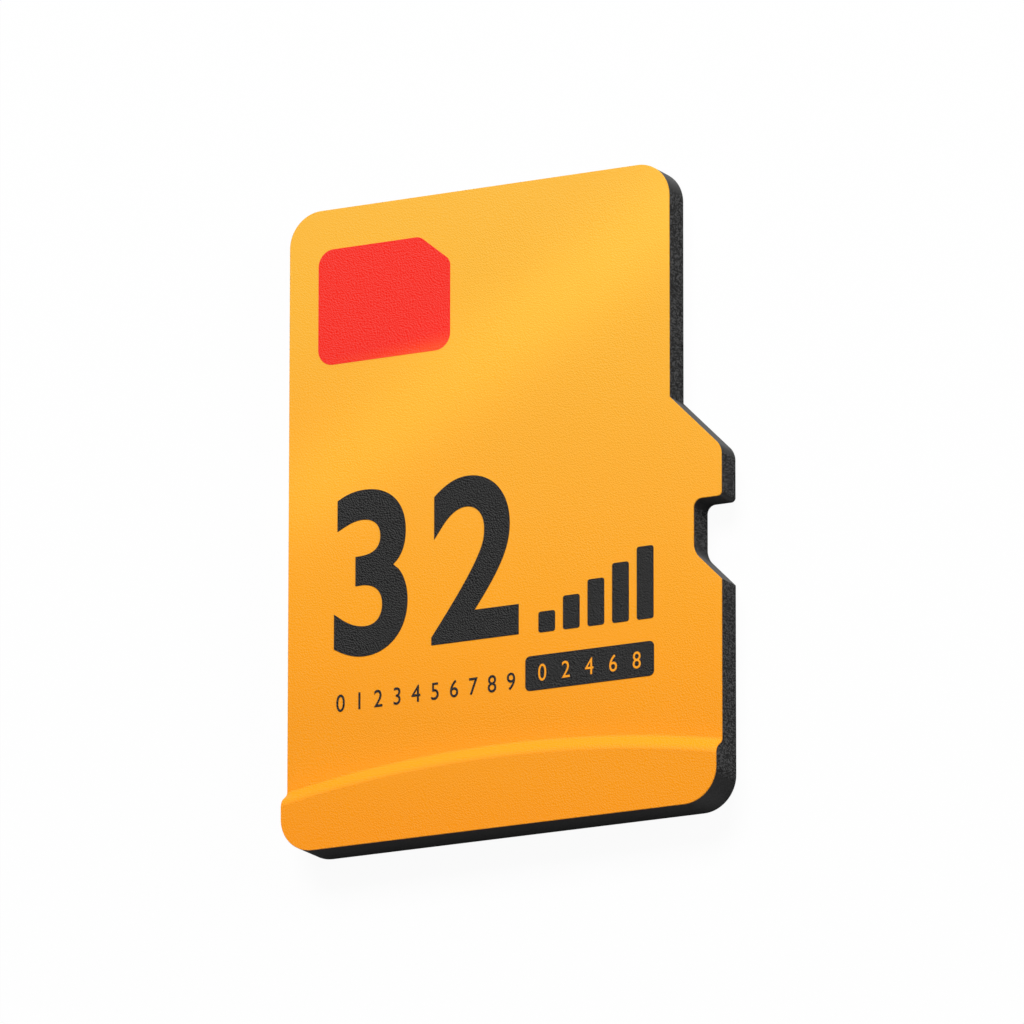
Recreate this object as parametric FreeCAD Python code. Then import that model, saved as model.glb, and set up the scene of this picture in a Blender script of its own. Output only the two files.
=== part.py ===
"""Memory card: a moulded epoxy case over a chip-carrying board, with a printed label.

Millimetres. X runs across the card, Y towards its contact end, Z up out of the label.
The origin lies under the middle of the card, on the face that it rests on.
"""
import FreeCAD, Part
import math
import os

V = FreeCAD.Vector

# Outline, seen from the label
card_width = 11.0
card_length = 15.0
corner_radius = 0.8

# Sloped shoulder behind the narrow contact end, then a straight ear up to the notch
shoulder_start = 5.5
shoulder_depth = 1.3
shoulder_corner_radius = 0.4
ear_length = 1.14

# Lock notch in the right edge, with a square front wall and a sloped exit
notch_depth = 0.7
notch_floor = 1.22
notch_mouth_radius = 0.1
notch_wall_radius = 0.2
notch_exit_radius = 0.4

# Thickness through the card
body_thickness = 0.7
board_thickness = 0.2
label_thickness = 0.03

# Finger lip: a ramp along an arc, measured from the rear end to mid-ramp on the centre line
lip_rise = 0.3
lip_depth = 1.825
lip_arc_radius = 30.0
ramp_angle = math.radians(54.0)
ramp_blend_radius = 0.14

# Contact fingers in the underside, spread over the contact end, two supply fingers reaching further out
contact_count = 8
contact_width = 0.8
contact_side_margin = 0.6
contact_start = 1.1
contact_end = 4.0
contact_corner_radius = 0.1
contact_thickness = 0.03
contact_recess = 0.02
supply_lead = 0.3
supply_contacts = (4, 6)

# Memory chips, a stepped stack that leaves both bond rows free
die_side_margin = 0.65
die_rear_margin = 1.4
die_front_margin = 2.6
die_step = 0.45
die_film_thickness = 0.02
stacked_dies = 3

# Controller chip on the front of the stack
controller_width = 3.2
controller_length = 2.4
controller_setback = 0.3

# Bond wires, arches from a chip down to the board or to the chip below
wire_size = 0.03
wire_loop = 0.07
wire_stagger = 0.1
bond_inset = 0.15
bond_end_margin = 0.5
bond_finger_gap = 0.4
memory_wire_count = 12
controller_wire_count = 6

# Epoxy left over the highest wire
mould_cover = 0.1

# Supply capacitors on the board, in front of the stack
capacitor_count = 3
capacitor_pitch = 1.6
capacitor_length = 0.6
capacitor_width = 0.3
capacitor_height = 0.3
capacitor_setback = 1.0
capacitor_end_length = 0.15
capacitor_end_build = 0.01

# Red printed field, placed from the card's left edge and its contact end
print_thickness = 0.01
red_left = 0.75
red_front = 0.95
red_width = 3.39
red_length = 2.72
red_corner_radius = 0.38
red_bevel_across = 0.78
red_bevel_along = 0.64
red_bevel_radius = 0.25

# Dark printed badge, placed from the card's right edge and its rear end
badge_right = 1.69
badge_rear = 3.12
badge_width = 3.24
badge_length = 0.8
badge_corner_radius = 0.12

# How far a cutting form runs past what it cuts
overreach = 1.0

# Edges and levels that several pieces share
left = -card_width / 2
right = card_width / 2
rear = -card_length / 2
front = card_length / 2
neck = right - shoulder_depth
neck_width = neck - left
neck_middle = (left + neck) / 2
stack_top = body_thickness - label_thickness - mould_cover - wire_loop
die_thickness = (stack_top - board_thickness) / stacked_dies - die_film_thickness
die_width = neck_width - 2 * die_side_margin
die_length = card_length - die_rear_margin - die_front_margin - die_step
lower_rear = rear + die_rear_margin
upper_rear = lower_rear + die_step
upper_front = upper_rear + die_length
controller_front = upper_front - controller_setback
lower_top = board_thickness + die_film_thickness + die_thickness
upper_top = lower_top + die_film_thickness + die_thickness
controller_top = upper_top + die_film_thickness + die_thickness


def rounded_face(corners):
    """Makes a plane face from (point, radius) corners, each rounded by a tangent arc."""
    stops = []
    for index, (corner, radius) in enumerate(corners):
        before = (corners[index - 1][0] - corner).normalize()
        after = (corners[(index + 1) % len(corners)][0] - corner).normalize()
        half_angle = before.getAngle(after) / 2
        reach = radius / math.tan(half_angle)
        inward = (before + after).normalize()
        middle = corner + inward * (radius / math.sin(half_angle) - radius)
        stops.append((corner + before * reach, middle, corner + after * reach, radius))
    edges = []
    for index, (start, middle, end, radius) in enumerate(stops):
        if radius > 0:
            edges.append(Part.Arc(start, middle, end).toShape())
        edges.append(Part.LineSegment(end, stops[(index + 1) % len(stops)][0]).toShape())
    return Part.Face(Part.Wire(edges))


def plate(corners, bottom, thickness):
    """Makes a flat plate from (x, y, radius) corners."""
    face = rounded_face([(V(x, y, bottom), radius) for x, y, radius in corners])
    return face.extrude(V(0, 0, thickness))


def rectangle(x_low, y_low, width, length, radius):
    """Lists a rectangle's corners, all with one radius, for a plate."""
    x_high = x_low + width
    y_high = y_low + length
    points = [(x_low, y_low), (x_high, y_low), (x_high, y_high), (x_low, y_high)]
    return [(x, y, radius) for x, y in points]


def card_outline():
    """Lists the card's outline: square rear, lock notch, sloped shoulder and narrow contact end."""
    shoulder_front = front - shoulder_start
    shoulder_rear = shoulder_front - shoulder_depth
    notch_x = right - notch_depth
    notch_front = shoulder_rear - ear_length
    notch_rear = notch_front - notch_floor
    return [
        (left, rear, corner_radius),
        (right, rear, corner_radius),
        (right, notch_rear - notch_depth, 0),
        (notch_x, notch_rear, notch_exit_radius),
        (notch_x, notch_front, notch_wall_radius),
        (right, notch_front, notch_mouth_radius),
        (right, shoulder_rear, shoulder_corner_radius),
        (neck, shoulder_front, 0),
        (neck, front, corner_radius),
        (left, front, corner_radius),
    ]


def card_form(lowered):
    """Makes the whole card up to its upper face, with that face lowered evenly.

    The upper face is turned about an upright axis behind the card, so the lip's ramp and both
    of its blends follow one arc across the card.
    """
    axis_y = rear + lip_depth - lip_arc_radius
    inner_radius = lip_arc_radius - lip_depth - overreach
    outer_radius = math.hypot(card_width / 2, front - axis_y) + overreach
    half_run = lip_rise / 2 / math.tan(ramp_angle)
    face_z = body_thickness - lowered
    lip_z = face_z + lip_rise
    section = [
        (inner_radius, 0, 0),
        (outer_radius, 0, 0),
        (outer_radius, face_z, 0),
        (lip_arc_radius + half_run, face_z, ramp_blend_radius),
        (lip_arc_radius - half_run, lip_z, ramp_blend_radius),
        (inner_radius, lip_z, 0),
    ]
    face = rounded_face([(V(0, axis_y - r, z), radius) for r, z, radius in section])
    turned = face.revolve(V(0, axis_y, 0), V(0, 0, 1), 360)
    return plate(card_outline(), 0, body_thickness + lip_rise + overreach).common(turned)


def label_coat():
    """Makes the ink coat over the whole upper face, lip included."""
    return card_form(0).cut(card_form(label_thickness))


def contact_corners():
    """Lists the contact fingers' corners in order, from the notched side across the contact end."""
    pitch = (neck_width - 2 * contact_side_margin - contact_width) / (contact_count - 1)
    first_x = neck - contact_side_margin - contact_width
    fingers = []
    for number in range(1, contact_count + 1):
        x = first_x - (number - 1) * pitch
        start = contact_start - supply_lead if number in supply_contacts else contact_start
        length = contact_end - start
        fingers.append(rectangle(x, front - contact_end, contact_width, length, contact_corner_radius))
    return fingers


def die(rear_y, length, width, top):
    """Makes a chip and the adhesive film under it, centred behind the contact end."""
    corners = rectangle(neck_middle - width / 2, rear_y, width, length, 0)
    chip = plate(corners, top - die_thickness, die_thickness)
    film = plate(corners, top - die_thickness - die_film_thickness, die_film_thickness)
    return chip, film


def wire_row(count, width, shift, upper_foot, lower_foot):
    """Makes a row of arched wires along a chip's edge, between two (y, z) feet."""
    upper_y, upper_z = upper_foot
    lower_y, lower_z = lower_foot
    crown = upper_z + wire_loop
    inward = math.copysign(wire_size, lower_y - upper_y)
    section = [
        (upper_y, upper_z),
        (upper_y, crown),
        (lower_y, crown),
        (lower_y, lower_z),
        (lower_y - inward, lower_z),
        (lower_y - inward, crown - wire_size),
        (upper_y + inward, crown - wire_size),
        (upper_y + inward, upper_z),
    ]
    first_x = neck_middle - width / 2 + bond_end_margin + shift
    pitch = (width - 2 * bond_end_margin - wire_size - wire_stagger) / (count - 1)
    face = rounded_face([(V(first_x, y, z), 0) for y, z in section])
    wire = face.extrude(V(wire_size, 0, 0))
    return Part.makeCompound([wire.translated(V(number * pitch, 0, 0)) for number in range(count)])


def capacitor(number):
    """Makes one chip capacitor on the board, with a slightly proud metal cap at each end."""
    x = neck_middle + (number - (capacitor_count + 1) / 2) * capacitor_pitch
    low = V(x - capacitor_length / 2, front - capacitor_setback - capacitor_width, board_thickness)
    step = capacitor_end_build
    body = Part.makeBox(
        capacitor_length, capacitor_width - 2 * step, capacitor_height - step, low + V(0, step, 0)
    )
    cap = Part.makeBox(capacitor_end_length, capacitor_width, capacitor_height, low)
    far_cap = cap.translated(V(capacitor_length - capacitor_end_length, 0, 0))
    return body.fuse([cap, far_cap]).removeSplitter()


def red_field():
    """Makes the red printed field, with a bevelled corner like the outline of a small card."""
    x_low = left + red_left
    x_high = x_low + red_width
    y_high = front - red_front
    y_low = y_high - red_length
    corners = [
        (x_low, y_low, red_corner_radius),
        (x_high, y_low, red_corner_radius),
        (x_high, y_high - red_bevel_along, red_bevel_radius),
        (x_high - red_bevel_across, y_high, red_bevel_radius),
        (x_low, y_high, red_corner_radius),
    ]
    return plate(corners, body_thickness, print_thickness)


def dark_badge():
    """Makes the dark printed badge between the lip and the large mark."""
    x_low = right - badge_right - badge_width
    corners = rectangle(x_low, rear + badge_rear, badge_width, badge_length, badge_corner_radius)
    return plate(corners, body_thickness, print_thickness)


def inner_pieces():
    """Makes the chips, films, wires and capacitors that the epoxy is moulded around."""
    pieces = {}
    pieces["memory_die_lower"], pieces["die_film_lower"] = die(lower_rear, die_length, die_width, lower_top)
    pieces["memory_die_upper"], pieces["die_film_upper"] = die(upper_rear, die_length, die_width, upper_top)
    pieces["controller_die"], pieces["die_film_controller"] = die(
        controller_front - controller_length, controller_length, controller_width, controller_top
    )
    board_bond_rear = (lower_rear - bond_finger_gap, board_thickness)
    board_bond_front = (upper_front + bond_finger_gap, board_thickness)
    lower_row = (lower_rear + bond_inset, lower_top)
    upper_row = (upper_rear + bond_inset, upper_top)
    controller_row = (controller_front - bond_inset, controller_top)
    pieces["bond_wires_lower"] = wire_row(memory_wire_count, die_width, 0, lower_row, board_bond_rear)
    pieces["bond_wires_upper"] = wire_row(memory_wire_count, die_width, wire_stagger, upper_row, lower_row)
    pieces["bond_wires_controller"] = wire_row(
        controller_wire_count, controller_width, 0, controller_row, board_bond_front
    )
    for number in range(1, capacitor_count + 1):
        pieces[f"capacitor_{number}"] = capacitor(number)
    return pieces


def card():
    """Makes every piece of the card, by name."""
    pieces = inner_pieces()
    board = plate(card_outline(), 0, board_thickness)
    case = card_form(label_thickness).cut([board] + list(pieces.values()))
    for number, corners in enumerate(contact_corners(), start=1):
        pieces[f"contact_{number}"] = plate(corners, contact_recess, contact_thickness)
        board = board.cut(plate(corners, 0, contact_recess + contact_thickness))
    pieces["substrate_board"] = board
    pieces["moulded_case"] = case
    pieces["label_coat"] = label_coat()
    pieces["label_red_field"] = red_field()
    pieces["label_dark_badge"] = dark_badge()
    return pieces


os.makedirs("parts", exist_ok=True)
for name, shape in card().items():
    shape.exportStep(f"parts/{name}.step")
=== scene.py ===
"""Dresses a memory card: meshes for its case, board and label, its print, its finishes and a studio."""
import logging
import math
from collections.abc import Callable
from dataclasses import dataclass
from enum import Enum

import bmesh
import bpy
from mathutils import Matrix, Vector


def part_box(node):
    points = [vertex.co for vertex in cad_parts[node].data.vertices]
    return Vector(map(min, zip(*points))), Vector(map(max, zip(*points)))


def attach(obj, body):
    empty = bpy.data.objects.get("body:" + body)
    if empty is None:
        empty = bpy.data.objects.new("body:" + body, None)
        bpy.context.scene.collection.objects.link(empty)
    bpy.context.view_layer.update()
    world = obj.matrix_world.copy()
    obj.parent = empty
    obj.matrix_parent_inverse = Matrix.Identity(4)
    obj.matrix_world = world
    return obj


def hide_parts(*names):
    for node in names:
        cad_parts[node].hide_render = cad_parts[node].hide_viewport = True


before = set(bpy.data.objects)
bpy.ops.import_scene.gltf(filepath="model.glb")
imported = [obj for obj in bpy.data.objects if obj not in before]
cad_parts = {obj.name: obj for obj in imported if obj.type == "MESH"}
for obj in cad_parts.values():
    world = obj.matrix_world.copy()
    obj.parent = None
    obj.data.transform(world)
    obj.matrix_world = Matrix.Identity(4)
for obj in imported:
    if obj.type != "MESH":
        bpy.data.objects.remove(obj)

log = logging.getLogger("memory_card")

# One millimetre in the frame's metres. Pieces are modelled in millimetres and then brought to metres.
MM = 0.001
BODY = "root"

Material = bpy.types.Material
Piece = bpy.types.Object
Socket = bpy.types.NodeSocket
Triple = tuple[float, float, float]
Colour = tuple[float, float, float, float]
# Left, rear, right and front of a rectangle on the card, in millimetres.
Box = tuple[float, float, float, float]


class Blend(Enum):
    """How a tool body changes the piece that it is brought against."""

    KEEP_SHARED = "INTERSECT"
    CUT_AWAY = "DIFFERENCE"


def linear(code: str) -> Colour:
    """Turns an sRGB hex colour into linear values.

    Args:
        code: The colour as six hex digits after a number sign.

    Returns:
        Linear red, green and blue, and an alpha of one.
    """
    values = [int(code[place:place + 2], 16) / 255 for place in (1, 3, 5)]
    red, green, blue = (v / 12.92 if v <= 0.04045 else ((v + 0.055) / 1.055) ** 2.4 for v in values)
    return red, green, blue, 1.0


def add_node(
    tree: bpy.types.NodeTree, kind: str, inputs: dict[str | int, object] | None = None, **settings: object
) -> bpy.types.Node:
    """Adds a node with its settings, values and links.

    Args:
        tree: The node tree that takes the node.
        kind: The node's type.
        inputs: A value or an output socket for each named or numbered input.
        **settings: Properties of the node itself.

    Returns:
        The new node.
    """
    node = tree.nodes.new(kind)
    for name, value in settings.items():
        setattr(node, name, value)
    for name, value in (inputs or {}).items():
        if isinstance(value, Socket):
            tree.links.new(value, node.inputs[name])
        else:
            node.inputs[name].default_value = value
    return node


def dress(nodes: tuple[str, ...], material: Material) -> list[Piece]:
    """Gives solids that stay as they are a finish.

    Args:
        nodes: The solids' names.
        material: The finish.

    Returns:
        The dressed solids.
    """
    solids = [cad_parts[name] for name in nodes]
    for solid in solids:
        solid.data.materials.clear()
        solid.data.materials.append(material)
    return solids


@dataclass(frozen=True)
class CardSizes:
    """The card's own sizes in millimetres, as its solids have them, with the lip's crest worn rounder."""

    width: float = 11.0
    length: float = 15.0
    corner_radius: float = 0.8
    shoulder_start: float = 5.5
    shoulder_depth: float = 1.3
    shoulder_radius: float = 0.4
    ear_length: float = 1.14
    notch_depth: float = 0.7
    notch_floor: float = 1.22
    notch_mouth_radius: float = 0.1
    notch_wall_radius: float = 0.2
    notch_exit_radius: float = 0.4
    body_thickness: float = 0.7
    board_thickness: float = 0.2
    label_thickness: float = 0.03
    print_thickness: float = 0.01
    lip_rise: float = 0.3
    lip_depth: float = 1.825
    lip_arc_radius: float = 30.0
    ramp_angle: float = math.radians(54.0)
    ramp_foot_radius: float = 0.14
    ramp_crest_radius: float = 0.24

    @property
    def right(self) -> float:
        """Gives the X of the wide right edge."""
        return self.width / 2

    @property
    def front(self) -> float:
        """Gives the Y of the contact end."""
        return self.length / 2

    @property
    def neck(self) -> float:
        """Gives the X of the narrow right edge beside the contacts."""
        return self.right - self.shoulder_depth

    @property
    def shoulder_front(self) -> float:
        """Gives the Y where the sloped shoulder starts."""
        return self.front - self.shoulder_start

    @property
    def notch_front(self) -> float:
        """Gives the Y of the notch's square wall."""
        return self.shoulder_front - self.shoulder_depth - self.ear_length

    @property
    def lip_axis(self) -> float:
        """Gives the Y of the upright axis that the lip's arc turns about."""
        return -self.front + self.lip_depth - self.lip_arc_radius


class Workpiece:
    """A mesh object on the bench, modelled in millimetres with edit-mode operators."""

    # Points closer than this are at one place, and a cut snaps to points closer than the next.
    near: float = 1e-3
    snap: float = 1e-5
    # Faces count as flat neighbours up to the first angle, and as one smooth surface up to the second.
    flat_angle: float = math.radians(0.5)
    smooth_angle: float = math.radians(30.0)

    def __init__(self, name: str, body: bpy.types.Object | None = None) -> None:
        """Starts from a unit plane, or takes up a mesh object that is there already.

        Args:
            name: The object's name.
            body: The object to take up, if it isn't a new plane.
        """
        if body is None:
            bpy.ops.object.select_all(action="DESELECT")
            bpy.ops.mesh.primitive_plane_add(size=1.0, location=(0, 0, 0))
            body = bpy.context.object
        self.object = body
        self.object.name = name
        self.object.data.name = name

    def take_up(self) -> None:
        """Makes this piece the only selected and active object."""
        bpy.ops.object.select_all(action="DESELECT")
        self.object.select_set(True)
        bpy.context.view_layer.objects.active = self.object

    def edit(self, mode: str = "FACE") -> bmesh.types.BMesh:
        """Opens the piece in edit mode with nothing selected.

        Args:
            mode: VERT, EDGE or FACE.

        Returns:
            The mesh under edit.
        """
        self.take_up()
        bpy.ops.object.mode_set(mode="EDIT")
        bpy.ops.mesh.select_mode(type=mode)
        bpy.ops.mesh.select_all(action="DESELECT")
        return bmesh.from_edit_mesh(self.object.data)

    def edit_all(self) -> None:
        """Opens the piece in edit mode with everything selected."""
        self.edit()
        bpy.ops.mesh.select_all(action="SELECT")

    def close(self) -> None:
        """Leaves edit mode."""
        bpy.ops.object.mode_set(mode="OBJECT")

    def pick(self, mode: str, where: Callable[[object], bool]) -> None:
        """Opens the piece and selects its vertices, edges or faces by place.

        Args:
            mode: VERT, EDGE or FACE.
            where: Tells whether an element is wanted.
        """
        mesh = self.edit(mode)
        elements = {"VERT": mesh.verts, "EDGE": mesh.edges, "FACE": mesh.faces}[mode]
        for element in [element for element in elements if where(element)]:
            element.select_set(True)
        mesh.select_flush_mode()
        bmesh.update_edit_mesh(self.object.data)

    def stretch(self, low: Vector, high: Vector) -> None:
        """Sizes and places the unit plane to fill a rectangle.

        Args:
            low: The rectangle's lower left corner.
            high: The rectangle's upper right corner.
        """
        self.take_up()
        size = high - low
        bpy.ops.transform.resize(value=(size.x, size.y, 1.0))
        bpy.ops.transform.translate(value=(low + high) / 2)
        bpy.ops.object.transform_apply(location=True, rotation=True, scale=True)

    def put(self, place: Matrix) -> None:
        """Moves or turns the whole piece and keeps the new place in its mesh.

        Args:
            place: The move or turn.
        """
        self.take_up()
        self.object.matrix_world = place
        bpy.ops.object.transform_apply(location=True, rotation=True, scale=True)

    def score(self, point: Vector, normal: Vector) -> None:
        """Cuts a straight line across the whole piece, leaving both sides.

        Args:
            point: A point on the cut.
            normal: The direction across the cut.
        """
        self.edit_all()
        bpy.ops.mesh.bisect(plane_co=point, plane_no=normal, threshold=self.snap)
        self.close()

    def drop_faces(self, where: Callable[[bmesh.types.BMFace], bool]) -> None:
        """Deletes the faces that are wanted away.

        Args:
            where: Tells whether a face goes.
        """
        self.pick("FACE", where)
        bpy.ops.mesh.delete(type="FACE")
        self.close()

    def merge_flat(self) -> None:
        """Joins flat neighbouring faces into one and drops points on straight edges."""
        self.edit_all()
        bpy.ops.mesh.dissolve_limited(angle_limit=self.flat_angle)
        self.close()

    def round_corner(self, place: Vector, radius: float, segments: int) -> None:
        """Rounds the flat corner at a place by a tangent arc.

        Args:
            place: The corner.
            radius: The arc's radius.
            segments: How many straight steps the arc takes.
        """
        self.pick("VERT", lambda vert: (vert.co - place).length < self.near)
        mesh = bmesh.from_edit_mesh(self.object.data)
        corner = next(vert for vert in mesh.verts if vert.select)
        ways = [(edge.other_vert(corner).co - corner.co).normalized() for edge in corner.link_edges]
        reach = radius / math.tan(ways[0].angle(ways[1]) / 2)
        bpy.ops.mesh.bevel(offset=reach, offset_type="OFFSET", segments=segments, affect="VERTICES")
        self.close()

    def raise_faces(self, travel: Vector) -> None:
        """Extrudes the whole flat piece into a closed body.

        Args:
            travel: How far and which way.
        """
        self.edit_all()
        bpy.ops.mesh.extrude_region_move(TRANSFORM_OT_translate={"value": travel})
        bpy.ops.mesh.select_all(action="SELECT")
        bpy.ops.mesh.normals_make_consistent(inside=False)
        self.close()

    def meet(self, tool: "Workpiece", how: Blend) -> None:
        """Shapes the piece with another body, which is used up.

        Args:
            tool: The other body.
            how: What is kept.
        """
        self.take_up()
        cut = self.object.modifiers.new("meet", "BOOLEAN")
        cut.operation = how.value
        cut.solver = "EXACT"
        cut.object = tool.object
        bpy.ops.object.modifier_apply(modifier=cut.name)
        bpy.data.objects.remove(tool.object)

    def soften(self, where: Callable[[bmesh.types.BMEdge], bool], width: float, segments: int) -> None:
        """Rounds edges off.

        Args:
            where: Tells whether an edge is rounded.
            width: The rounding's width.
            segments: How many steps it takes.
        """
        self.pick("EDGE", where)
        bpy.ops.mesh.bevel(offset=width, offset_type="OFFSET", segments=segments, affect="EDGES")
        self.close()

    def copied(self, name: str) -> "Workpiece":
        """Copies the piece with a mesh of its own.

        Args:
            name: The copy's name.

        Returns:
            The copy.
        """
        self.take_up()
        bpy.ops.object.duplicate()
        return Workpiece(name, bpy.context.object)

    def finish(self, slot: str, material: Material, stands_for: tuple[str, ...] = ()) -> Piece:
        """Smooths the piece, brings it to metres, dresses it and sets it on the card.

        Args:
            slot: Not used.
            material: The piece's finish.
            stands_for: The solids that this piece is shown in place of.

        Returns:
            The finished object.
        """
        self.take_up()
        bpy.ops.object.shade_smooth_by_angle(angle=self.smooth_angle)
        evening = self.object.modifiers.new("even_normals", "WEIGHTED_NORMAL")
        evening.keep_sharp = True
        bpy.ops.object.modifier_apply(modifier=evening.name)
        bpy.ops.transform.resize(value=(MM, MM, MM), center_override=(0, 0, 0))
        bpy.ops.object.transform_apply(location=True, rotation=True, scale=True)
        self.object.data.materials.clear()
        self.object.data.materials.append(material)
        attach(self.object, BODY)
        if stands_for:
            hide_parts(*stands_for)
        return self.object


@dataclass(frozen=True)
class CardForm:
    """The outline and the upper face that the case, board and label share."""

    sizes: CardSizes
    corner_segments: int = 20
    small_corner_segments: int = 10
    blend_segments: int = 10
    # Steps of the lip's arc, whose lines stay clear of the card's long edges.
    arc_steps: int = 90
    arc_sweep: float = math.radians(26.0)
    # How far a tool body reaches past what it shapes.
    overreach: float = 1.0
    # A face counts as level from here up, where 1 looks straight up or down.
    level: float = 0.9999

    def plate(self, name: str, bottom: float, top: float) -> Workpiece:
        """Models a plate with the card's outline.

        Args:
            name: The piece's name.
            bottom: Height of its lower face.
            top: Height of its upper face.

        Returns:
            The plate.
        """
        s = self.sizes
        slope = Vector((1, 1, 0)).normalized()
        across = Vector((1, 0, 0))
        along = Vector((0, 1, 0))
        notch_x = s.right - s.notch_depth
        notch_rear = s.notch_front - s.notch_floor
        shoulder = Vector((s.neck, s.shoulder_front, bottom))
        notch_exit = Vector((notch_x, notch_rear, bottom))
        piece = Workpiece(name)
        piece.stretch(Vector((-s.right, -s.front, bottom)), Vector((s.right, s.front, bottom)))
        for point, normal in (
            (shoulder, across),
            (shoulder, slope),
            (notch_exit, across),
            (notch_exit, slope),
            (Vector((notch_x, s.notch_front, bottom)), along),
        ):
            piece.score(point, normal)

        def outside(face: bmesh.types.BMFace) -> bool:
            """Tells whether a face lies beyond the shoulder or in the notch.

            Args:
                face: A face of the scored plate.

            Returns:
                Whether the card leaves it out.
            """
            middle = face.calc_center_median()
            beyond = middle.x > s.neck and (middle - shoulder).dot(slope) > 0
            behind_wall = middle.x > notch_x and middle.y < s.notch_front
            return beyond or (behind_wall and (middle - notch_exit).dot(slope) > 0)

        piece.drop_faces(outside)
        piece.merge_flat()
        for x, y, radius, segments in (
            (-s.right, -s.front, s.corner_radius, self.corner_segments),
            (s.right, -s.front, s.corner_radius, self.corner_segments),
            (s.neck, s.front, s.corner_radius, self.corner_segments),
            (-s.right, s.front, s.corner_radius, self.corner_segments),
            (notch_x, notch_rear, s.notch_exit_radius, self.small_corner_segments),
            (notch_x, s.notch_front, s.notch_wall_radius, self.small_corner_segments),
            (s.right, s.notch_front, s.notch_mouth_radius, self.small_corner_segments),
            (s.right, s.shoulder_front - s.shoulder_depth, s.shoulder_radius, self.small_corner_segments),
        ):
            piece.round_corner(Vector((x, y, bottom)), radius, segments)
        piece.raise_faces(Vector((0, 0, top - bottom)))
        return piece

    def former(self, lowered: float) -> Workpiece:
        """Models the turned body whose top is the card's upper face, with the lip's ramp on its arc.

        Args:
            lowered: How far that face lies under the finished one.

        Returns:
            The turned body.
        """
        s = self.sizes
        face_z = s.body_thickness - lowered
        lip_z = face_z + s.lip_rise
        half_run = s.lip_rise / 2 / math.tan(s.ramp_angle)
        ramp_y = s.lip_axis + s.lip_arc_radius
        foot = Vector((0, ramp_y + half_run, face_z))
        crest = Vector((0, ramp_y - half_run, lip_z))
        ramp_normal = Vector((0, math.sin(s.ramp_angle), math.cos(s.ramp_angle)))
        rear = -s.front - self.overreach
        piece = Workpiece("lip_former")
        piece.stretch(Vector((0, rear, 0)), Vector((lip_z, s.front + self.overreach, 0)))
        piece.put(Matrix.Rotation(math.radians(-90.0), 4, "Y"))
        piece.score(foot, Vector((0, 0, 1)))
        piece.score(foot, ramp_normal)
        piece.drop_faces(
            lambda face: face.calc_center_median().z > face_z
            and (face.calc_center_median() - foot).dot(ramp_normal) > 0
        )
        piece.merge_flat()
        for place, radius in ((foot, s.ramp_foot_radius), (crest, s.ramp_crest_radius)):
            piece.round_corner(place, radius, self.blend_segments)
        axis = Vector((0, s.lip_axis, 0))
        start = Matrix.Rotation(self.arc_sweep / 2, 4, "Z")
        piece.put(Matrix.Translation(axis) @ start @ Matrix.Translation(-axis))
        piece.edit_all()
        bpy.ops.mesh.spin(steps=self.arc_steps, angle=self.arc_sweep, center=axis, axis=(0, 0, 1))
        bpy.ops.mesh.select_all(action="SELECT")
        bpy.ops.mesh.normals_make_consistent(inside=False)
        piece.close()
        # The level faces become one each, so that no line of the arc runs out to the card's edge in them.
        piece.pick("FACE", lambda face: abs(face.normal.z) > self.level)
        bpy.ops.mesh.dissolve_faces()
        piece.close()
        return piece


@dataclass(frozen=True)
class CardShell:
    """The moulded case and the ink coat on its upper face."""

    form: CardForm
    rim_width: float = 0.012
    rim_segments: int = 2
    # A face looks up from the first value on, and sideways under the second, where 1 looks straight up.
    upward: float = 0.3
    sideways: float = 0.1

    def build(self, epoxy: Material, ink: Material) -> list[Piece]:
        """Models the case, lifts the label off its upper faces and dresses both.

        Args:
            epoxy: The case's finish.
            ink: The label's finish.

        Returns:
            The case and the label.
        """
        s = self.form.sizes
        above = s.body_thickness + s.lip_rise + self.form.overreach
        case = self.form.plate("case_shell", s.board_thickness, above)
        case.meet(self.form.former(s.label_thickness), Blend.KEEP_SHARED)
        label = case.copied("label_skin")
        label.drop_faces(lambda face: face.normal.z < self.upward)
        label.raise_faces(Vector((0, 0, s.label_thickness)))
        label.soften(self.is_rim, self.rim_width, self.rim_segments)
        return [
            case.finish("case_epoxy", epoxy, ("moulded_case",)),
            label.finish("label_ink", ink, ("label_coat",)),
        ]

    def is_rim(self, edge: bmesh.types.BMEdge) -> bool:
        """Tells whether an edge runs between the label's upper face and its outer wall.

        Args:
            edge: An edge of the label.

        Returns:
            Whether it is on the rim.
        """
        heights = sorted(face.normal.z for face in edge.link_faces)
        return len(heights) == 2 and abs(heights[0]) < self.sideways and heights[1] > self.upward


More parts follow.
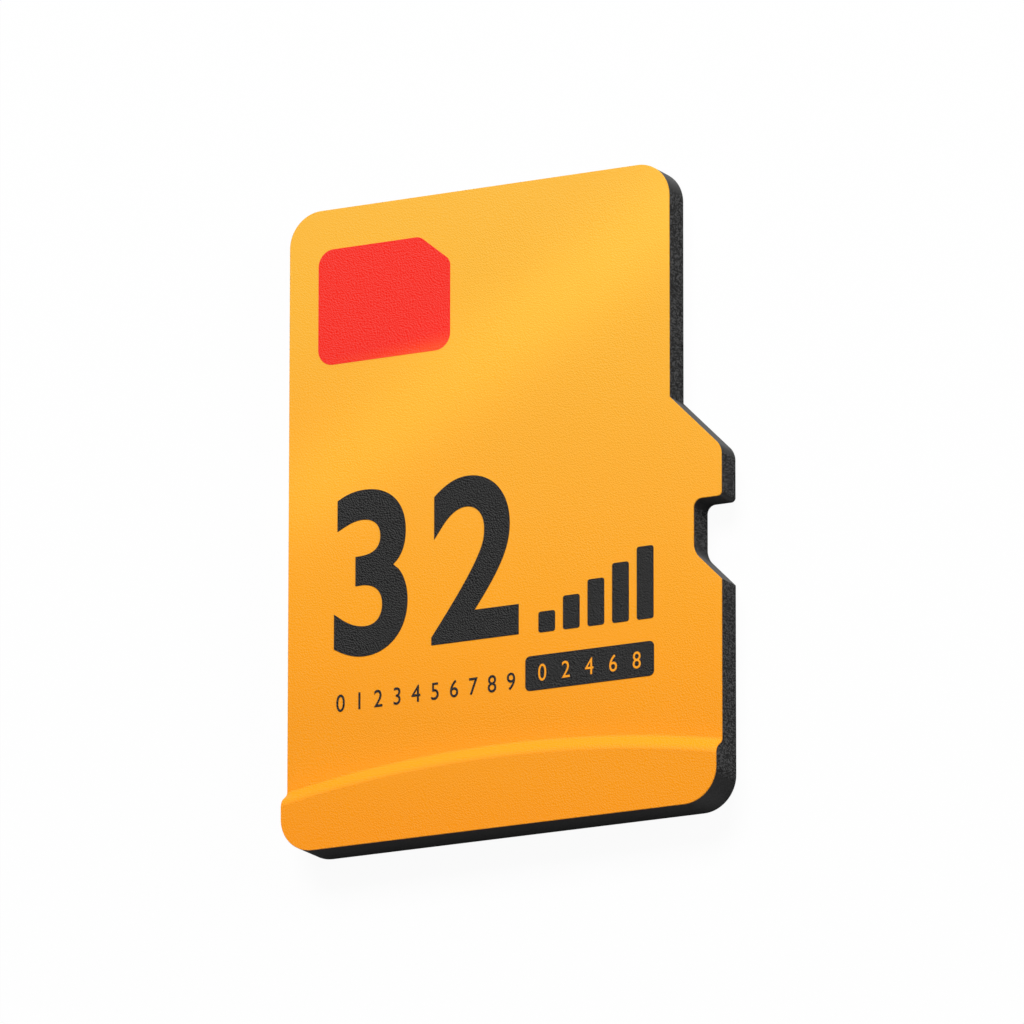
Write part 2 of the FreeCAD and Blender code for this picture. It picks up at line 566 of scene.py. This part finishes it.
@dataclass(frozen=True)
class ContactBoard:
    """The circuit board in the underside, with its contact fingers in their pockets."""

    form: CardForm
    contacts: tuple[str, ...] = tuple(f"contact_{number}" for number in range(1, 9))
    corner_radius: float = 0.1
    corner_segments: int = 8

    def build(self, mask: Material, gold: Material) -> list[Piece]:
        """Models the board, cuts the pockets around the fingers' own places and dresses it all.

        Args:
            mask: The board's finish.
            gold: The fingers' finish.

        Returns:
            The board and the fingers.
        """
        board = self.form.plate("board_plate", 0.0, self.form.sizes.board_thickness)
        for name in self.contacts:
            board.meet(self.pocket(name), Blend.CUT_AWAY)
        return [board.finish("board_mask", mask, ("substrate_board",)), *dress(self.contacts, gold)]

    def pocket(self, name: str) -> Workpiece:
        """Models the space that one contact finger takes out of the board.

        Args:
            name: The finger's solid.

        Returns:
            The body to cut away, open through the underside.
        """
        low, high = (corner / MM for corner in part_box(name))
        bottom = -self.form.overreach
        tool = Workpiece(f"pocket_{name}")
        tool.stretch(Vector((low.x, low.y, bottom)), Vector((high.x, high.y, bottom)))
        for x in (low.x, high.x):
            for y in (low.y, high.y):
                tool.round_corner(Vector((x, y, bottom)), self.corner_radius, self.corner_segments)
        tool.raise_faces(Vector((0, 0, high.z - bottom)))
        return tool


@dataclass(frozen=True)
class ChipStack:
    """The chips, films, wires and capacitors in the epoxy, which keep their solids' shapes."""

    chips: tuple[str, ...] = ("memory_die_lower", "memory_die_upper", "controller_die")
    films: tuple[str, ...] = ("die_film_lower", "die_film_upper", "die_film_controller")
    wires: tuple[str, ...] = ("bond_wires_lower", "bond_wires_upper", "bond_wires_controller")
    capacitors: tuple[str, ...] = ("capacitor_1", "capacitor_2", "capacitor_3")

    def dress(self, silicon: Material, film: Material, gold: Material, ceramic: Material) -> list[Piece]:
        """Dresses the pieces.

        Args:
            silicon: The chips' finish.
            film: The adhesive films' finish.
            gold: The wires' finish.
            ceramic: The capacitors' finish.

        Returns:
            The dressed solids.
        """
        return [
            *dress(self.chips, silicon),
            *dress(self.films, film),
            *dress(self.wires, gold),
            *dress(self.capacitors, ceramic),
        ]


class PrintMark(Workpiece):
    """A thin film of ink with a plain number's or block's outline."""

    # Steps in each curve of a numeral, and the reach within which its points are welded.
    curve_steps: int = 16
    weld: float = 1e-4

    @classmethod
    def numerals(cls, name: str, body: str, spacing: float, weight: float = 0.0) -> "PrintMark":
        """Sets plain numerals in the built-in face and makes them a flat mesh.

        Args:
            name: The mark's name.
            body: The numerals.
            spacing: Space between them, as a share of the usual.
            weight: How much their strokes are thickened, as a share of the type size.

        Returns:
            The flat mark.
        """
        bpy.ops.object.select_all(action="DESELECT")
        bpy.ops.object.text_add(location=(0, 0, 0))
        text = bpy.context.object
        text.data.body = body
        text.data.space_character = spacing
        text.data.offset = weight
        text.data.resolution_u = cls.curve_steps
        bpy.ops.object.convert(target="MESH")
        mark = cls(name, bpy.context.object)
        mark.edit_all()
        bpy.ops.mesh.remove_doubles(threshold=cls.weld)
        # Points in one row leave triangles without area in the fill, which this turns into full ones.
        bpy.ops.mesh.beautify_fill()
        mark.close()
        return mark

    @classmethod
    def block(cls, name: str, box: Box, radius: float, segments: int = 6) -> "PrintMark":
        """Models a plain round-cornered block as a flat mark.

        Args:
            name: The mark's name.
            box: Its left, rear, right and front.
            radius: Radius of its corners.
            segments: How many straight steps each corner takes.

        Returns:
            The flat mark.
        """
        left, rear, right, front = box
        mark = cls(name)
        mark.stretch(Vector((left, rear, 0)), Vector((right, front, 0)))
        for x in (left, right):
            for y in (rear, front):
                mark.round_corner(Vector((x, y, 0)), radius, segments)
        return mark

    def join(self, others: list["PrintMark"]) -> None:
        """Takes other flat marks into this one.

        Args:
            others: The marks that are used up.
        """
        self.take_up()
        for other in others:
            other.object.select_set(True)
        bpy.ops.object.join()

    def fit(self, box: Box) -> None:
        """Stretches the flat mark to fill a rectangle of the label.

        Args:
            box: The rectangle's left, rear, right and front.
        """
        left, rear, right, front = box
        points = [vertex.co for vertex in self.object.data.vertices]
        low_x, high_x = min(p.x for p in points), max(p.x for p in points)
        low_y, high_y = min(p.y for p in points), max(p.y for p in points)
        wider = (right - left) / (high_x - low_x)
        longer = (front - rear) / (high_y - low_y)
        grow = Matrix.Diagonal((wider, longer, 1.0, 1.0))
        self.put(Matrix.Translation((left, rear, 0)) @ grow @ Matrix.Translation((-low_x, -low_y, 0)))

    def gather(self, place: Vector, reach: float) -> None:
        """Draws the points around a place together, where a thickened outline crosses itself.

        Args:
            place: The middle of the points.
            reach: How far around it they lie.
        """
        self.pick("VERT", lambda vert: (vert.co - place).length < reach)
        bpy.ops.mesh.merge(type="CENTER")
        self.close()

    def lay(self, bottom: float, thickness: float) -> None:
        """Lays the flat mark on a face and gives it the film's thickness.

        Args:
            bottom: Height of the face.
            thickness: The film's thickness.
        """
        self.put(Matrix.Translation((0, 0, bottom)))
        self.raise_faces(Vector((0, 0, thickness)))


@dataclass(frozen=True)
class LabelPrint:
    """The red field, the badge, and the plain numbers and gauge bars printed on the label."""

    sizes: CardSizes
    field_node: str = "label_red_field"
    field_thickness: float = 0.003
    field_corner_radius: float = 0.38
    field_bevel_across: float = 0.78
    field_bevel_along: float = 0.64
    field_bevel_radius: float = 0.25
    field_segments: int = 14
    badge_node: str = "label_dark_badge"
    number: str = "32"
    number_box: Box = (-4.31, -3.08, 0.40, 0.80)
    number_weight: float = 0.02
    number_spacing: float = 1.12
    # The notch between the first numeral's bows, where its thick strokes run into each other.
    number_notch: tuple[float, float] = (-2.80, -1.02)
    number_notch_reach: float = 0.13
    bars_left: float = 0.90
    bars_rear: float = -3.06
    bar_width: float = 0.42
    bar_pitch: float = 0.62
    bar_heights: tuple[float, ...] = (0.48, 0.78, 1.08, 1.38, 1.68)
    bar_radius: float = 0.06
    scale: str = "0123456789"
    scale_box: Box = (-4.24, -4.30, 0.31, -3.90)
    scale_spacing: float = 2.0
    badge_scale: str = "02468"
    badge_scale_box: Box = (0.90, -4.18, 3.48, -3.79)
    badge_scale_spacing: float = 2.6
    badge_scale_thickness: float = 0.005

    def build(self, red: Material, dark: Material, orange: Material) -> list[Piece]:
        """Models the print and dresses it.

        Args:
            red: The field's ink.
            dark: The ink of the badge and the marks.
            orange: The label's ink, for the marks left open in the badge.

        Returns:
            The field, the badge and the marks.
        """
        face = self.sizes.body_thickness
        film = self.sizes.print_thickness
        field = self.field().finish("red_ink", red, (self.field_node,))
        pieces = [field, *dress((self.badge_node,), dark)]
        number = PrintMark.numerals("mark_number", self.number, self.number_spacing, self.number_weight)
        number.fit(self.number_box)
        number.gather(Vector((*self.number_notch, 0)), self.number_notch_reach)
        scale = PrintMark.numerals("mark_scale", self.scale, self.scale_spacing)
        scale.fit(self.scale_box)
        for mark in (number, self.bars(), scale):
            mark.lay(face, film)
            pieces.append(mark.finish("dark_ink", dark))
        badge_scale = PrintMark.numerals("mark_badge_scale", self.badge_scale, self.badge_scale_spacing)
        badge_scale.fit(self.badge_scale_box)
        badge_scale.lay(face + film, self.badge_scale_thickness)
        pieces.append(badge_scale.finish("label_ink", orange))
        return pieces

    def field(self) -> PrintMark:
        """Models the red field as a film so thin that its edge throws no shade.

        Returns:
            The field, with one bevelled corner.
        """
        low, high = (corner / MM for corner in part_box(self.field_node))
        bevel_start = Vector((high.x - self.field_bevel_across, high.y, 0))
        bevel_end = Vector((high.x, high.y - self.field_bevel_along, 0))
        beyond = Vector((self.field_bevel_along, self.field_bevel_across, 0)).normalized()
        mark = PrintMark("field_film")
        mark.stretch(Vector((low.x, low.y, 0)), Vector((high.x, high.y, 0)))
        mark.score(bevel_start, beyond)
        mark.drop_faces(lambda face: (face.calc_center_median() - bevel_start).dot(beyond) > 0)
        for x, y in ((low.x, low.y), (high.x, low.y), (low.x, high.y)):
            mark.round_corner(Vector((x, y, 0)), self.field_corner_radius, self.field_segments)
        for place in (bevel_start, bevel_end):
            mark.round_corner(place, self.field_bevel_radius, self.field_segments)
        mark.lay(low.z, self.field_thickness)
        return mark

    def bars(self) -> PrintMark:
        """Models the row of rising gauge bars as one flat mark.

        Returns:
            The flat mark.
        """
        rear = self.bars_rear
        marks = []
        for place, height in enumerate(self.bar_heights):
            left = self.bars_left + place * self.bar_pitch
            box = (left, rear, left + self.bar_width, rear + height)
            marks.append(PrintMark.block("mark_gauge_bars", box, self.bar_radius))
        marks[0].join(marks[1:])
        return marks[0]


class Finish:
    """A surface finish that is built as a node material."""

    # How far to each side of its middle a noise pattern mostly goes.
    noise_reach: float = 0.2

    def __init__(self, name: str) -> None:
        """Starts the material with an empty tree.

        Args:
            name: The material's name.
        """
        self.material = bpy.data.materials.new(name)
        self.material.use_nodes = True
        self.tree = self.material.node_tree
        self.tree.nodes.clear()

    def place(self, per_mm: Triple, turn: float = 0.0, shift_mm: float = 0.0) -> Socket:
        """Gives the place on the object, in repeats of a pattern.

        Args:
            per_mm: Repeats to the millimetre along each axis.
            turn: Turn of the pattern about the upright axis.
            shift_mm: How far the turned pattern is moved along its own second axis.

        Returns:
            The vector to feed a pattern.
        """
        where = add_node(self.tree, "ShaderNodeTexCoord")
        turned = add_node(
            self.tree, "ShaderNodeMapping",
            {
                "Vector": where.outputs["Object"], "Location": (0, shift_mm * MM, 0),
                "Rotation": (0, 0, turn),
            },
        )
        scaled = add_node(
            self.tree, "ShaderNodeMapping",
            {"Vector": turned.outputs["Vector"], "Scale": tuple(value / MM for value in per_mm)},
        )
        return scaled.outputs["Vector"]

    def mottled(self, colour: object, pattern: Socket, middle: float, swing: object) -> Socket:
        """Lets a pattern carry a colour evenly to both sides of itself, but not past black.

        Args:
            colour: The middle colour, or a socket that gives it.
            pattern: The pattern.
            middle: The pattern's own middle.
            swing: Linear width of the change in red, green and blue, or a socket that gives it.

        Returns:
            The varied colour.
        """
        level = add_node(
            self.tree, "ShaderNodeMapRange",
            {
                "Value": pattern, "To Min": -0.5, "To Max": 0.5,
                "From Min": middle - self.noise_reach, "From Max": middle + self.noise_reach,
            },
        )
        varied = add_node(
            self.tree, "ShaderNodeVectorMath", {0: level.outputs["Result"], 1: swing, 2: colour},
            operation="MULTIPLY_ADD",
        )
        kept = add_node(
            self.tree, "ShaderNodeVectorMath", {0: varied.outputs["Vector"], 1: (0, 0, 0)},
            operation="MAXIMUM",
        )
        return kept.outputs["Vector"]

    def close(self, **inputs: object) -> Material:
        """Ends the tree in one surface shader.

        Args:
            **inputs: Inputs of the shader, with spaces written as underscores.

        Returns:
            The finished material.
        """
        named = {name.replace("_", " "): value for name, value in inputs.items()}
        surface = add_node(self.tree, "ShaderNodeBsdfPrincipled", named)
        add_node(self.tree, "ShaderNodeOutputMaterial", {"Surface": surface.outputs["BSDF"]})
        return self.material


@dataclass(frozen=True)
class InkFinish:
    """A cured satin ink in a blend along the card, which is print colour with a painted sheen over it,
    under a fine pressed grain of short slanted strokes, bumped, whose lit and shaded sides are painted
    into the colour too.
    """

    name: str
    stops: tuple[tuple[float, str], ...]
    # Linear width of the painted light and shade on the grain's strokes.
    swing: Triple
    span_mm: tuple[float, float] = (-7.7, 7.7)
    lean: float = 0.0
    grain_mm: float = 0.02
    grain_stretch: float = 2.5
    grain_turn: float = math.radians(40.0)
    grain_depth_mm: float = 0.003
    roughness: float = 0.5
    gloss: float = 0.06

    def build(self) -> Material:
        """Builds the material.

        Returns:
            The finished material.
        """
        finish = Finish(self.name)
        tree = finish.tree
        # The blend along the card is print colour with a painted sheen over it: lighter and yellower
        # towards the key lamp on the label, and warmer along the red field's rear edge.
        along = add_node(tree, "ShaderNodeSeparateXYZ", {"Vector": finish.place((1, 1, 1), self.lean)})
        share = add_node(
            tree, "ShaderNodeMapRange",
            {"Value": along.outputs["Y"], "From Min": self.span_mm[0], "From Max": self.span_mm[1]},
        )
        ramp = add_node(tree, "ShaderNodeValToRGB", {"Fac": share.outputs["Result"]})
        ramp.color_ramp.elements[0].position = self.stops[0][0]
        ramp.color_ramp.elements[0].color = linear(self.stops[0][1])
        ramp.color_ramp.elements[1].position = self.stops[-1][0]
        ramp.color_ramp.elements[1].color = linear(self.stops[-1][1])
        for position, code in self.stops[1:-1]:
            ramp.color_ramp.elements.new(position).color = linear(code)
        fine = 1 / self.grain_mm
        per_mm = (fine / self.grain_stretch, fine, fine)
        grain, beside = (
            add_node(
                tree, "ShaderNodeTexNoise",
                {"Vector": finish.place(per_mm, self.grain_turn, shift), "Scale": 1.0, "Detail": 0.0},
                noise_dimensions="2D",
            )
            for shift in (0.0, self.grain_mm)
        )
        # The grain less itself moved a stroke's width: painted light and shade on each stroke's two sides,
        # laid into the colour on top of the real bump.
        painted_stroke_light_and_shade = add_node(
            tree, "ShaderNodeMath", {0: grain.outputs["Fac"], 1: beside.outputs["Fac"]},
            operation="SUBTRACT",
        )
        bump = add_node(
            tree, "ShaderNodeBump",
            {"Height": grain.outputs["Fac"], "Strength": 1.0, "Distance": self.grain_depth_mm * MM},
        )
        return finish.close(
            Base_Color=finish.mottled(ramp.outputs["Color"], painted_stroke_light_and_shade.outputs[0], 0.0, self.swing),
            Roughness=self.roughness,
            Specular_IOR_Level=self.gloss,
            Normal=bump.outputs["Normal"],
        )


@dataclass(frozen=True)
class SpeckledFinish:
    """A filled matte solid with a speckle of its filler, set apart for the walls that face across the
    card's width; on the case and board, the stronger and paler speckle there is painted light from the
    side lamp as well as filler.
    """

    name: str
    colour: str
    other_face_swing: float
    side_speckle_and_painted_light_swing: float
    speckle_mm: Triple = (0.037, 0.028, 0.05)
    # Under the pattern's own middle of a half, so that the speckle pales the side walls as a whole too:
    # painted light that lifts the walls facing across the width over the rest.
    middle: float = 0.482
    # A face counts as a side wall, with the stronger speckle and painted light, from here up, where 1
    # looks straight along the card's width.
    sideways_from: float = 0.97
    depth_mm: float = 0.002
    roughness: float = 0.6
    gloss: float = 0.3
    sheen: float = 0.0

    def build(self) -> Material:
        """Builds the material.

        Returns:
            The finished material.
        """
        finish = Finish(self.name)
        tree = finish.tree
        where = add_node(tree, "ShaderNodeTexCoord")
        facing = add_node(tree, "ShaderNodeSeparateXYZ", {"Vector": where.outputs["Normal"]})
        sideways = add_node(tree, "ShaderNodeMath", {0: facing.outputs["X"]}, operation="ABSOLUTE")
        # The walls facing across the width get the larger swing: filler speckle and painted light from the
        # side lamp.
        swing = add_node(
            tree, "ShaderNodeMapRange",
            {
                "Value": sideways.outputs[0], "From Min": self.sideways_from, "From Max": 1.0,
                "To Min": self.other_face_swing, "To Max": self.side_speckle_and_painted_light_swing,
            },
        )
        per_mm = tuple(1 / size for size in self.speckle_mm)
        speckle = add_node(
            tree, "ShaderNodeTexNoise", {"Vector": finish.place(per_mm), "Scale": 1.0, "Detail": 0.0}
        )
        bump = add_node(
            tree, "ShaderNodeBump",
            {"Height": speckle.outputs["Fac"], "Strength": 1.0, "Distance": self.depth_mm * MM},
        )
        return finish.close(
            Base_Color=finish.mottled(
                linear(self.colour)[:3], speckle.outputs["Fac"], self.middle, swing.outputs["Result"]
            ),
            Roughness=self.roughness,
            Specular_IOR_Level=self.gloss,
            Sheen_Weight=self.sheen,
            Normal=bump.outputs["Normal"],
        )


@dataclass(frozen=True)
class PlatedFinish:
    """A smooth plated, drawn or ground surface, with faint cloudy changes in its polish."""

    name: str
    colour: str
    deep_colour: str
    cloud_mm: float = 0.4
    cloud_detail: float = 4.0
    cloud_roughness: float = 0.6
    roughness: tuple[float, float] = (0.18, 0.32)
    metallic: float = 1.0

    def build(self) -> Material:
        """Builds the material.

        Returns:
            The finished material.
        """
        finish = Finish(self.name)
        tree = finish.tree
        wide = 1 / self.cloud_mm
        cloud = add_node(
            tree, "ShaderNodeTexNoise",
            {
                "Vector": finish.place((wide, wide, wide)), "Scale": 1.0,
                "Detail": self.cloud_detail, "Roughness": self.cloud_roughness,
            },
        )
        ramp = add_node(tree, "ShaderNodeValToRGB", {"Fac": cloud.outputs["Fac"]})
        ramp.color_ramp.elements[0].color = linear(self.deep_colour)
        ramp.color_ramp.elements[1].color = linear(self.colour)
        polish = add_node(
            tree, "ShaderNodeMapRange",
            {"Value": cloud.outputs["Fac"], "To Min": self.roughness[0], "To Max": self.roughness[1]},
        )
        return finish.close(
            Base_Color=ramp.outputs["Color"], Roughness=polish.outputs["Result"], Metallic=self.metallic
        )


# Screen-printed label ink, cured and pressed, with a satin grain: deep orange print, with a painted sheen
# that makes it lighter and yellower towards the contact end, where the key lamp shines from, and painted
# light and shade on the grain's strokes. The real grain is some thousandths of a millimetre wide and is
# drawn coarser to show.
LABEL_INK_AND_PAINTED_SHEEN = InkFinish(
    "label_ink_orange_painted_sheen",
    (
        (0.0, "#fe9b1e"), (0.09, "#fd9f22"), (0.18, "#fba025"), (0.27, "#ffa528"), (0.36, "#ffa92c"),
        (0.49, "#ffae34"), (0.63, "#fdb238"), (0.81, "#fbb83e"), (1.0, "#fabb44"),
    ),
    (0.0, 0.072, 0.05),
    lean=math.radians(6.9),
)

# Screen-printed red ink on the same pressed grain, with the same painted light and shade on its strokes: a
# clear red print, with a painted highlight that warms it to orange along its rear edge, where the strip
# light's band crosses it.
RED_INK_AND_PAINTED_SHEEN = InkFinish(
    "field_ink_red_painted_sheen",
    ((0.0, "#fc532e"), (0.03, "#fb4a2e"), (0.07, "#f8402e"), (0.14, "#f63930"), (1.0, "#f63a31")),
    (0.0, 0.062, 0.06),
    span_mm=(4.06, 6.78),
    lean=math.radians(-6.0),
)

# Screen-printed charcoal ink: near black, kept soft by the grain under it, whose lit and shaded stroke
# sides are painted into the colour.
DARK_INK = InkFinish("mark_ink_charcoal", ((0.0, "#292929"), (1.0, "#2a2a2a")), (0.062, 0.062, 0.062))

# Moulded epoxy filled with silica: matte black with a soft bloom at a low angle. Its long sides carry a
# pale speckle of the filler, drawn about twice as coarse as it is so that it shows; its strength there and
# the paler tone of those sides are painted light from the side lamp.
EPOXY = SpeckledFinish("moulded_epoxy", "#262626", 0.015, 0.13, roughness=0.85, gloss=0.0, sheen=0.21)

# Black solder mask over glass laminate: as matte as the epoxy, with the same speckle and painted light
# along the sides.
MASK = SpeckledFinish("solder_mask", "#252525", 0.015, 0.13, roughness=0.85, gloss=0.0, sheen=0.21)

# Electroplated hard gold, and drawn gold wire: warm and bright, with a slight cloud in its polish.
GOLD = PlatedFinish("hard_gold_plating", "#f0c66a", "#d9a441")

# Ground silicon: a cool grey half-mirror.
SILICON = PlatedFinish("ground_silicon", "#7c818c", "#5d626d", metallic=0.6)

# Cast adhesive film: a dull amber.
FILM = SpeckledFinish("adhesive_film", "#96753d", 0.05, 0.05)

# Fired barium titanate ceramic: a dry brown.
CERAMIC = SpeckledFinish("fired_ceramic", "#7c5d42", 0.05, 0.05)


@dataclass(frozen=True)
class Camera:
    """A long lens looking down on the card from its right and rear, with the contact end at the top."""

    lens: float = 521.5
    sensor: float = 36.0
    distance_mm: float = 333.66
    aim_mm: Triple = (-0.1134, 0.0075, 0.0623)
    toward: Triple = (0.45244, -0.2559, 0.85429)
    roll: float = math.radians(0.07)
    clip_mm: float = 33.0

    def build(self) -> None:
        """Makes the camera and sets it as the scene's."""
        data = bpy.data.cameras.new("card_camera")
        data.lens = self.lens
        data.sensor_width = self.sensor
        data.clip_start = self.clip_mm * MM
        back = Vector(self.toward).normalized()
        right = Vector((0, 1, 0)).cross(back).normalized()
        up = back.cross(right)
        place = Matrix((right, up, back)).transposed().to_4x4() @ Matrix.Rotation(self.roll, 4, "Z")
        place.translation = (Vector(self.aim_mm) + back * self.distance_mm) * MM
        camera = bpy.data.objects.new("card_camera", data)
        camera.matrix_world = place
        bpy.context.scene.collection.objects.link(camera)
        bpy.context.scene.camera = camera


@dataclass(frozen=True)
class Lamp:
    """A rectangular soft lamp."""

    name: str
    place_mm: Triple
    size_mm: tuple[float, float]
    power: float
    aim_mm: Triple = (0.0, 0.0, 0.0)
    turn: float = 0.0
    spread: float = math.pi

    def build(self) -> None:
        """Makes the lamp and points it at its aim."""
        data = bpy.data.lights.new(self.name, "AREA")
        data.shape = "RECTANGLE"
        data.size = self.size_mm[0] * MM
        data.size_y = self.size_mm[1] * MM
        data.energy = self.power
        data.spread = self.spread
        lamp = bpy.data.objects.new(self.name, data)
        place = Vector(self.place_mm) * MM
        lamp.location = place
        facing = (Vector(self.aim_mm) * MM - place).to_track_quat("-Z", "Y").to_matrix()
        lamp.rotation_euler = (facing @ Matrix.Rotation(self.turn, 3, "Z")).to_euler()
        bpy.context.scene.collection.objects.link(lamp)


@dataclass(frozen=True)
class Studio:
    """A pale floor, open under the card so that its underside is lit too, an even sky and soft lamps."""

    form: CardForm
    floor_size_mm: float = 4000.0
    opening_share: float = 0.998
    floor_colour: str = "#a8a8a8"
    floor_seen_colour: str = "#f4f4f4"
    floor_glow: float = 0.95
    sky: float = 0.13
    lamps: tuple[Lamp, ...] = (
        Lamp("key_softbox", (-20, 200, 222), (160, 120), 0.953),
        Lamp("side_softbox", (200, 50, 60), (120, 90), 0.19),
        Lamp("under_softbox", (-120, 220, -200), (160, 120), 1.2),
        Lamp(
            "strip_light", (-0.35, 3.61, 60), (13, 1.7), 1.1e-5,
            aim_mm=(-0.35, 3.61, 0), turn=math.radians(30.0), spread=math.radians(3.0),
        ),
    )

    def build(self) -> None:
        """Makes the floor, the lamps and the sky."""
        self.floor()
        for lamp in self.lamps:
            lamp.build()
        self.world()
        bpy.context.scene.view_settings.view_transform = "Standard"

    def floor(self) -> None:
        """Makes the floor: paper that keeps the shadow, white to the eye and clear from below."""
        sheet = Workpiece("floor")
        reach = Vector((self.floor_size_mm / 2, self.floor_size_mm / 2, 0))
        sheet.stretch(-reach, reach)
        opening = self.form.plate("floor_opening", -self.form.overreach, self.form.overreach)
        opening.put(Matrix.Diagonal((self.opening_share, self.opening_share, 1.0, 1.0)))
        sheet.meet(opening, Blend.CUT_AWAY)
        sheet.drop_faces(lambda face: face.calc_center_median().z < -sheet.near)
        sheet.put(Matrix.Diagonal((MM, MM, MM, 1.0)))
        floor = sheet.object
        finish = Finish("pale_paper_floor")
        tree = finish.tree
        seen = self.seen(tree)
        tone = add_node(
            tree, "ShaderNodeMapRange",
            {
                "Value": seen, "To Min": linear(self.floor_colour)[0],
                "To Max": linear(self.floor_seen_colour)[0],
            },
        )
        paper = add_node(tree, "ShaderNodeBsdfDiffuse", {"Color": tone.outputs["Result"]})
        share = add_node(tree, "ShaderNodeMath", {0: seen, 1: self.floor_glow}, operation="MULTIPLY")
        glow = add_node(tree, "ShaderNodeEmission", {"Color": linear("#ffffff"), "Strength": 1.0})
        lit = add_node(
            tree, "ShaderNodeMixShader", {0: share.outputs[0], 1: paper.outputs[0], 2: glow.outputs[0]}
        )
        clear = add_node(tree, "ShaderNodeBsdfTransparent")
        side = add_node(tree, "ShaderNodeNewGeometry")
        mix = add_node(
            tree, "ShaderNodeMixShader",
            {0: side.outputs["Backfacing"], 1: lit.outputs[0], 2: clear.outputs[0]},
        )
        add_node(tree, "ShaderNodeOutputMaterial", {"Surface": mix.outputs[0]})
        floor.data.materials.append(finish.material)

    def seen(self, tree: bpy.types.NodeTree) -> Socket:
        """Tells a ray that shows the background from one that only lights the object.

        Args:
            tree: The node tree that takes the nodes.

        Returns:
            One for a camera, glossy or transmission ray, else zero.
        """
        ray = add_node(tree, "ShaderNodeLightPath")
        shown = ray.outputs["Is Camera Ray"]
        for kind in ("Is Glossy Ray", "Is Transmission Ray"):
            wider = add_node(tree, "ShaderNodeMath", {0: shown, 1: ray.outputs[kind]}, operation="MAXIMUM")
            shown = wider.outputs[0]
        return shown

    def world(self) -> None:
        """Makes the even sky, white to the eye and dimmer as a light."""
        world = bpy.data.worlds.new("studio_sky")
        world.use_nodes = True
        tree = world.node_tree
        tree.nodes.clear()
        level = add_node(
            tree, "ShaderNodeMapRange", {"Value": self.seen(tree), "To Min": self.sky, "To Max": 1.0}
        )
        sky = add_node(
            tree, "ShaderNodeBackground", {"Color": linear("#ffffff"), "Strength": level.outputs[0]}
        )
        add_node(tree, "ShaderNodeOutputWorld", {"Surface": sky.outputs[0]})
        bpy.context.scene.world = world


def main() -> None:
    """Builds and dresses the card's pieces in order, reports each one and sets up the studio."""
    logging.basicConfig(level=logging.INFO, format="%(name)s %(message)s")
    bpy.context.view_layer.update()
    form = CardForm(CardSizes())
    label_ink = LABEL_INK_AND_PAINTED_SHEEN.build()
    gold = GOLD.build()
    pieces = [
        *CardShell(form).build(EPOXY.build(), label_ink),
        *ContactBoard(form).build(MASK.build(), gold),
        *ChipStack().dress(SILICON.build(), FILM.build(), gold, CERAMIC.build()),
        *LabelPrint(form.sizes).build(RED_INK_AND_PAINTED_SHEEN.build(), DARK_INK.build(), label_ink),
    ]
    for piece in pieces:
        log.info("%s: %d faces, %s", piece.name, len(piece.data.polygons), piece.data.materials[0].name)
    Studio(form).build()
    Camera().build()


if __name__ == "__main__":
    main()
